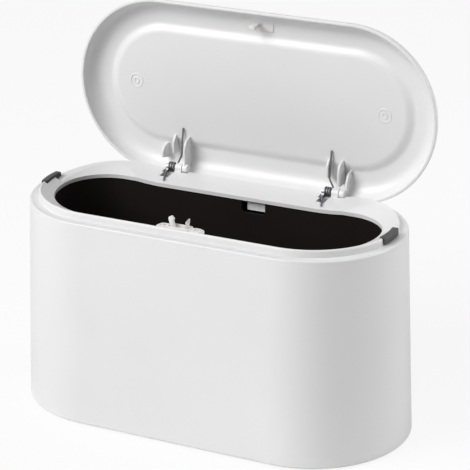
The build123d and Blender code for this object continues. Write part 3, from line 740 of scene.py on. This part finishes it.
class TRASHCAN_OT_bumpers(bpy.types.Operator):
    """Rubber bumpers over the crest at both ends of the frame"""
    bl_idname = "trashcan.bumpers"
    bl_label = "End bumpers"

    def execute(self, context):
        trim = settings().trim
        for name, side in (("left", -1), ("right", 1)):
            points = bumper_points(side, trim.bumper_length / MM, trim.bumper_width / MM)
            mesh = surface_mesh("bumper_pad_" + name, [(points, False)], sharp=50.0)
            add_piece("bumper_pad_" + name, mesh, bumper_rubber(), "frame",
                      "end_bumper_" + name)
        return {"FINISHED"}


def jaw_points(name, side, softness):
    """A latch jaw: soft-edged plate across the bin with an inward barb."""
    corners = JAW_OUTLINES[name]
    outline = rounded_line(corners, [JAW_CORNER] * len(corners), steps=3, closed=True)
    flat = plate(outline, JAW_THICKNESS, softness)
    return np.stack([side * flat[..., 0], LATCH_Y + flat[..., 2], flat[..., 1]], -1)


class TRASHCAN_OT_jaws(bpy.types.Operator):
    """Two jaws of the touch latch that close round the striker"""
    bl_idname = "trashcan.jaws"
    bl_label = "Latch jaws"

    def execute(self, context):
        softness = settings().trim.jaw_softness / MM
        for name, side in (("left", -1), ("right", 1)):
            points = jaw_points(name, side, softness)
            mesh = surface_mesh("jaw_plate_" + name, [(points, False)], sharp=45.0)
            add_piece("jaw_plate_" + name, mesh, satin_white(), "jaw_" + name,
                      "latch_jaw_" + name)
        return {"FINISHED"}


def corner_line(half_x, half_y, steps=8):
    """Places and outward directions round a rectangle of corner centres: a quarter turn at each."""
    turn = np.radians(np.concatenate([np.linspace(a, a + 90, steps) for a in (0, 90, 180, 270)]))
    out = np.stack([np.cos(turn), np.sin(turn)], -1)
    sign_x = np.repeat([1, -1, -1, 1], steps)
    sign_y = np.repeat([1, 1, -1, -1], steps)
    return np.stack([sign_x * half_x, LATCH_Y + sign_y * half_y], -1), out


def neck_points(neck_rise):
    """Neck of the latch: a soft-topped wall carried round four corners, down to its foot."""
    top, bottom = LATCH_SEAT + neck_rise, LATCH_SEAT - LATCH_DEPTH
    outside, inside = 1.2, 0.35
    wall = rounded_line([(outside, bottom), (outside, top), (inside, top), (inside, bottom)],
                        [0.5, 0.3], steps=5)
    return carried(corner_line(half_x=5.5, half_y=1.9), wall)


def lug_points(side, rise):
    """One lug with its low dome.

    Its rings go a growing share of the way from the round screw recess to the lug's edge, a superellipse.
    The dome's height is its rise times the root of one minus the square of that share.
    """
    middle, half_length, half_width, squareness = 9.2, 3.8, 3.4, 2.6
    screw_hole, head_hole, lip, edge_of_recess = 0.95, 1.72, 1.8, 2.0
    circle = circle_directions(56)
    corner = np.sign(circle) * np.abs(circle) ** (2 / squareness)
    edge = np.array([middle, 0.0]) + corner * np.array([half_length, half_width])
    centre = np.array([SCREW_PLACE, 0.0])
    share = np.sin(np.linspace(0.0, math.pi / 2, 12))
    start = centre + edge_of_recess * circle
    grown = start + (edge - start) * share[:, None, None]
    dome = LATCH_SEAT + 0.2 + rise * np.sqrt(1 - share ** 2)
    rings = [centre + radius * circle for radius in (screw_hole, head_hole, lip)]
    flat = np.concatenate([np.stack(rings), grown, edge[None]])
    recess = LATCH_SEAT + 0.3
    height = np.concatenate([[recess, recess, dome[0] - 0.12], dome, [LATCH_SEAT]])
    flat = np.stack([side * flat[..., 0], LATCH_Y + flat[..., 1]], -1)
    return np.concatenate([flat, np.broadcast_to(height[:, None, None], flat.shape[:2] + (1,))], -1)


class TRASHCAN_OT_latch_body(bpy.types.Operator):
    """Body of the touch latch: neck with an open top between two domed screw lugs"""
    bl_idname = "trashcan.latch_body"
    bl_label = "Latch body"

    def execute(self, context):
        trim = settings().trim
        shells = [(neck_points(trim.neck_rise / MM), False)]
        shells += [(lug_points(side, trim.lug_rise / MM), False) for side in (-1, 1)]
        mesh = surface_mesh("latch_neck_and_lugs", shells, sharp=50.0)
        add_piece("latch_neck_and_lugs", mesh, satin_white(), "frame", "latch_housing")
        return {"FINISHED"}


def screw_points(side):
    """A pan-head screw: its half section from the dimple in the head to the tip, turned about its line."""
    seat = LATCH_SEAT + 0.32
    top, dimple = seat + 0.62, seat + 0.15
    middle, drive, head, shank = 0.12, 0.4, 1.6, 0.84
    section = rounded_line([(middle, dimple), (drive, dimple), (0.6, top), (head, top), (head, seat),
                            (shank, seat), (shank, seat - 4.2), (middle, seat - 5.0)],
                           [0.1, 0.1, 0.4, 0.1, 0.1, 0.3], steps=4)
    places = np.tile([[side * SCREW_PLACE, LATCH_Y]], (32, 1))
    return carried((places, circle_directions(32)), section)


class TRASHCAN_OT_screws(bpy.types.Operator):
    """Two screws of the latch with low pan heads, sunk in the lugs"""
    bl_idname = "trashcan.screws"
    bl_label = "Latch screws"

    def execute(self, context):
        shells = [(screw_points(side), False) for side in (-1, 1)]
        mesh = surface_mesh("pan_head_screws", shells, sharp=50.0)
        add_piece("pan_head_screws", mesh, pin_steel(), "frame", "latch_screws")
        return {"FINISHED"}


def latch_coil_path(low, high):
    """Middle line of the latch's coil, with half a flat turn at each end.

    It is a circle about Z whose height grows evenly with the angle between the two flat half turns.
    """
    angle = np.linspace(0, 2 * math.pi * LATCH_COIL_TURNS, 36 * LATCH_COIL_TURNS)
    climb = np.clip((angle - math.pi) / (2 * math.pi * (LATCH_COIL_TURNS - 1)), 0, 1)
    x = LATCH_COIL_RADIUS * np.cos(angle)
    y = LATCH_Y + LATCH_COIL_RADIUS * np.sin(angle)
    return np.stack([x, y, low + (high - low) * climb], -1)


class TRASHCAN_OT_latch_coil(bpy.types.Operator):
    """Coil under the latch's plunger: round wire"""
    bl_idname = "trashcan.latch_coil"
    bl_label = "Latch coil"

    def execute(self, context):
        low, high = LATCH_COIL
        tube = wire_tube(latch_coil_path(low, high), LATCH_COIL_WIRE / 2, aside=(0.0, 0.0, 1.0))
        mesh = surface_mesh("latch_coil_wire", [(tube, False)], sharp=60.0)
        piece = add_piece("latch_coil_wire", mesh, spring_wire(), None, "latch_spring")
        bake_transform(piece)
        return {"FINISHED"}


class TRASHCAN_OT_solids(bpy.types.Operator):
    """Finishes of all solids, also of those that a later piece takes the place of"""
    bl_idname = "trashcan.solids"
    bl_label = "Solids' finishes"

    def execute(self, context):
        finish_nodes(gloss_white(), "body_shell", "top_frame", "lid_cover")
        finish_nodes(satin_white(), "base_plate", "lid_striker", "latch_housing", "latch_end_cap",
                     "latch_plunger", "latch_jaw_left", "latch_jaw_right")
        finish_nodes(liner_black(), "inner_liner")
        finish_nodes(bumper_rubber(), "rubber_feet", "end_bumper_left", "end_bumper_right")
        finish_nodes(spring_wire(), "torsion_spring_left", "torsion_spring_right", "latch_spring")
        finish_nodes(pin_steel(), "hinge_pin_left", "hinge_pin_right", "jaw_pin_left", "jaw_pin_right",
                     "latch_screws")
        return {"FINISHED"}


# Stage

def make_camera(stage):
    """Camera on a sphere round its target.

    Its back points along the azimuth and elevation. Right is level and square to the back, up is square to
    both, and the roll turns right and up together.
    """
    azimuth, elevation, roll = stage.azimuth, stage.elevation, stage.roll
    back = Vector((math.sin(azimuth) * math.cos(elevation),
                   -math.cos(azimuth) * math.cos(elevation),
                   math.sin(elevation)))
    level_right = (-back).cross(Vector((0, 0, 1))).normalized()
    level_up = level_right.cross(-back)
    right = level_right * math.cos(roll) + level_up * math.sin(roll)
    up = level_up * math.cos(roll) - level_right * math.sin(roll)
    target = Vector(CAMERA_TARGET) + right * CAMERA_SHIFT[0] + up * CAMERA_SHIFT[1]
    camera = bpy.data.objects.new("camera", bpy.data.cameras.new("camera"))
    bpy.context.scene.collection.objects.link(camera)
    turn = Matrix((right, up, back)).transposed().to_4x4()
    camera.matrix_world = Matrix.Translation(target + back * stage.distance) @ turn
    camera.data.lens = stage.lens
    camera.data.sensor_width = CAMERA_SENSOR
    camera.data.clip_start, camera.data.clip_end = CAMERA_CLIP
    bpy.context.scene.camera = camera


def area_light(name, power):
    """Round soft light that faces its aim."""
    place, aim, size = LIGHTS[name]
    lamp = bpy.data.lights.new(name, "AREA")
    lamp.shape = "DISK"
    lamp.size = size
    lamp.energy = power
    holder = bpy.data.objects.new(name, lamp)
    bpy.context.scene.collection.objects.link(holder)
    direction = Vector(aim) - Vector(place)
    holder.matrix_world = (Matrix.Translation(Vector(place))
                           @ direction.to_track_quat("-Z", "Y").to_matrix().to_4x4())


def make_world(ambient):
    """Even dim light all round, with a pale backdrop for the camera, reflections and clear things."""
    world = bpy.data.worlds.new("studio")
    bpy.context.scene.world = world
    world.use_nodes = True
    tree = world.node_tree
    tree.nodes.clear()
    output = tree.nodes.new("ShaderNodeOutputWorld")
    path = tree.nodes.new("ShaderNodeLightPath")
    seen = path.outputs["Is Camera Ray"]
    for name in ("Is Glossy Ray", "Is Transmission Ray"):
        either = tree.nodes.new("ShaderNodeMath")
        either.operation = "MAXIMUM"
        tree.links.new(seen, either.inputs[0])
        tree.links.new(path.outputs[name], either.inputs[1])
        seen = either.outputs[0]
    soft = tree.nodes.new("ShaderNodeBackground")
    soft.inputs["Strength"].default_value = ambient
    pale = tree.nodes.new("ShaderNodeBackground")
    mix = tree.nodes.new("ShaderNodeMixShader")
    tree.links.new(seen, mix.inputs["Fac"])
    tree.links.new(soft.outputs[0], mix.inputs[1])
    tree.links.new(pale.outputs[0], mix.inputs[2])
    tree.links.new(mix.outputs[0], output.inputs["Surface"])


def make_floor():
    """Pale floor that glows for the camera alone, so it looks almost white and still shows a shadow."""
    mesh = bpy.data.meshes.new("floor")
    corners = [(x * FLOOR_HALF, y * FLOOR_HALF, 0) for x, y in ((-1, -1), (1, -1), (1, 1), (-1, 1))]
    mesh.from_pydata(corners, [], [(0, 1, 2, 3)])
    floor = bpy.data.objects.new("floor", mesh)
    bpy.context.scene.collection.objects.link(floor)
    material = bpy.data.materials.new("floor_white")
    material.use_nodes = True
    tree = material.node_tree
    tree.nodes.clear()
    output = tree.nodes.new("ShaderNodeOutputMaterial")
    diffuse = tree.nodes.new("ShaderNodeBsdfDiffuse")
    diffuse.inputs["Color"].default_value = FLOOR_COLOUR
    glow = tree.nodes.new("ShaderNodeEmission")
    path = tree.nodes.new("ShaderNodeLightPath")
    seen = tree.nodes.new("ShaderNodeMath")
    seen.operation = "MULTIPLY"
    seen.inputs[1].default_value = FLOOR_GLOW
    tree.links.new(path.outputs["Is Camera Ray"], seen.inputs[0])
    mix = tree.nodes.new("ShaderNodeMixShader")
    tree.links.new(seen.outputs[0], mix.inputs["Fac"])
    tree.links.new(diffuse.outputs[0], mix.inputs[1])
    tree.links.new(glow.outputs[0], mix.inputs[2])
    tree.links.new(mix.outputs[0], output.inputs["Surface"])
    mesh.materials.append(material)


class TRASHCAN_OT_stage(bpy.types.Operator):
    """Camera, soft lights, pale floor and pale surroundings"""
    bl_idname = "trashcan.stage"
    bl_label = "Studio stage"

    def execute(self, context):
        stage = settings().stage
        make_camera(stage)
        make_world(stage.ambient)
        make_floor()
        area_light("key", stage.key_power)
        area_light("top", stage.top_power)
        area_light("side", stage.side_power)
        context.scene.view_settings.view_transform = "Standard"
        return {"FINISHED"}


OPERATORS = (TRASHCAN_OT_stage, TRASHCAN_OT_solids, TRASHCAN_OT_lid, TRASHCAN_OT_springs,
             TRASHCAN_OT_bumpers, TRASHCAN_OT_jaws, TRASHCAN_OT_latch_body, TRASHCAN_OT_screws,
             TRASHCAN_OT_latch_coil)


class TRASHCAN_PT_sidebar(bpy.types.Panel):
    """Sizes, finishes and pieces of the desktop trash can"""
    bl_label = "Trash Can"
    bl_idname = "TRASHCAN_PT_sidebar"
    bl_space_type = "VIEW_3D"
    bl_region_type = "UI"
    bl_category = "Trash Can"

    def draw(self, context):
        layout = self.layout
        can = context.scene.trash_can
        for title, group in (("Lid", can.lid), ("Springs", can.spring), ("Trim", can.trim),
                             ("Finishes", can.finish), ("Stage", can.stage)):
            box = layout.box()
            box.label(text=title)
            for name in group.__annotations__:
                box.prop(group, name)
        for operator in OPERATORS:
            layout.operator(operator.bl_idname)


CLASSES = (TrashCanLid, TrashCanSpring, TrashCanTrim, TrashCanFinish, TrashCanStage, TrashCanSettings,
           *OPERATORS, TRASHCAN_PT_sidebar)


def register():
    for cls in CLASSES:
        bpy.utils.register_class(cls)
    bpy.types.Scene.trash_can = PointerProperty(type=TrashCanSettings)


def unregister():
    del bpy.types.Scene.trash_can
    for cls in reversed(CLASSES):
        bpy.utils.unregister_class(cls)


def main():
    register()
    bpy.ops.trashcan.stage()
    bpy.ops.trashcan.solids()
    bpy.ops.trashcan.lid()
    bpy.ops.trashcan.springs()
    bpy.ops.trashcan.bumpers()
    bpy.ops.trashcan.jaws()
    bpy.ops.trashcan.latch_body()
    bpy.ops.trashcan.screws()
    bpy.ops.trashcan.latch_coil()


if __name__ == "__main__":
    main()
